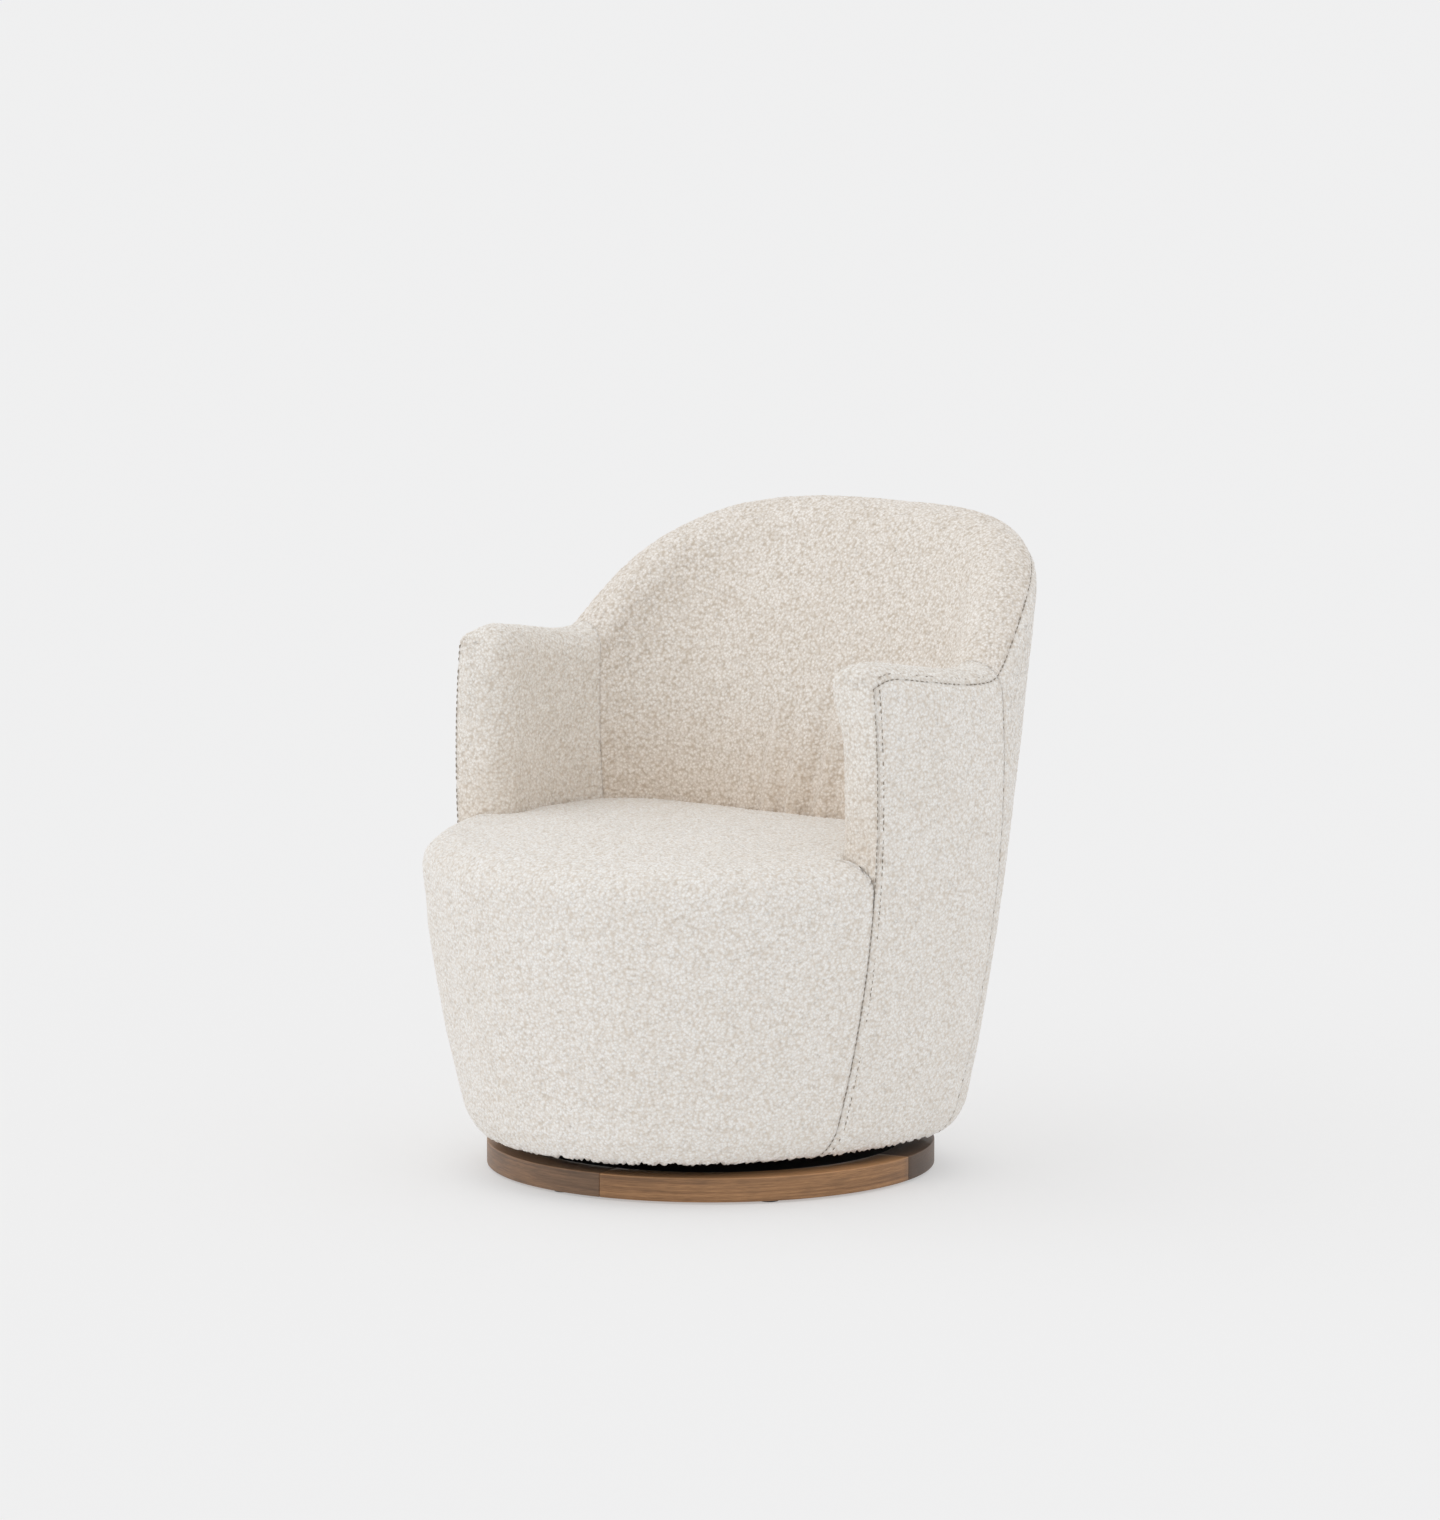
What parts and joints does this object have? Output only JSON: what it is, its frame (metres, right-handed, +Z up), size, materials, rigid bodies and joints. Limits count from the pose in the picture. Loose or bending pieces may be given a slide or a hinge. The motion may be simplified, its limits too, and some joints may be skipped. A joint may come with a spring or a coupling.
{
  "type": "armchair",
  "caption": "Low barrel-shaped swivel armchair: a padded wrap-round back and arms and a domed seat in nubby loop cloth, on a round wooden plinth ring that it turns on.",
  "frame": {"origin": "on the floor, on the vertical swivel axis, which is the centre of the round plinth", "axes": "+Z up, the seat faces -Y at rest, +X towards the sitter's left arm"},
  "size_m": [0.7298, 0.7358, 0.8056],
  "materials": {
    "stained_wood": "satin, medium brown stain, grain round the ring, slightly worn",
    "board": "bare plywood",
    "dark_board": "board painted near black",
    "black_plastic": "moulded",
    "white_plastic": "moulded, low friction",
    "zinc_steel": "zinc plated",
    "polished_steel": "polished balls",
    "black_cloth": "thin woven cloth and webbing",
    "felt": "pressed felt",
    "foam": "open-cell foam",
    "loop_fabric": "nubby loop-pile upholstery cloth, oatmeal",
    "loop_fabric_inside": "nubby loop-pile upholstery cloth, oatmeal"
  },
  "bodies": {
    "plinth": {"ring_segment_1": "stained_wood", "ring_segment_2": "stained_wood", "ring_segment_3": "stained_wood", "ring_segment_4": "stained_wood", "plinth_core": "dark_board", "glides": "black_plastic", "lower_swivel_plate": "zinc_steel", "lower_plate_screws": "zinc_steel", "pivot_pin": "zinc_steel", "pivot_washer": "zinc_steel", "pivot_nut": "zinc_steel"},
    "ball_cage": {"ball_retainer": "black_plastic", "bearing_balls": "polished_steel"},
    "seat": {"upper_swivel_plate": "zinc_steel", "upper_plate_screws": "zinc_steel", "pivot_bush": "white_plastic", "bottom_board": "board", "dust_cover": "black_cloth", "seat_deck": "board", "front_panel": "board", "top_rail": "board", "rib_1": "board", "rib_2": "board", "rib_3": "board", "rib_4": "board", "rib_5": "board", "rib_6": "board", "rib_7": "board", "rib_8": "board", "left_arm_post": "board", "right_arm_post": "board", "left_side_post": "board", "right_side_post": "board", "left_back_post": "board", "right_back_post": "board", "centre_back_post": "board", "seat_spring_1": "zinc_steel", "seat_spring_2": "zinc_steel", "seat_spring_3": "zinc_steel", "seat_spring_4": "zinc_steel", "seat_spring_5": "zinc_steel", "spring_clips": "zinc_steel", "spring_pad": "felt", "back_band_1": "black_cloth", "back_band_2": "black_cloth", "back_band_3": "black_cloth", "seat_foam": "foam", "back_foam": "foam", "left_arm_foam": "foam", "right_arm_foam": "foam", "seat_cover": "loop_fabric", "outer_back_cover": "loop_fabric", "left_side_cover": "loop_fabric", "right_side_cover": "loop_fabric", "inside_back_cover": "loop_fabric_inside", "left_arm_cover": "loop_fabric_inside", "right_arm_cover": "loop_fabric_inside"}
  },
  "joints": [
    {"name": "swivel", "type": "hinge", "parent": "plinth", "child": "seat", "pos_m": [0, 0, 0.0415], "axis": [0, 0, 1], "continuous": true},
    {"name": "cage_spin", "type": "hinge", "parent": "plinth", "child": "ball_cage", "pos_m": [0, 0, 0.0415], "axis": [0, 0, 1], "continuous": true}
  ],
  "couplings": [
    {"joint": "cage_spin", "follows": "swivel", "ratio": 0.5}
  ]
}
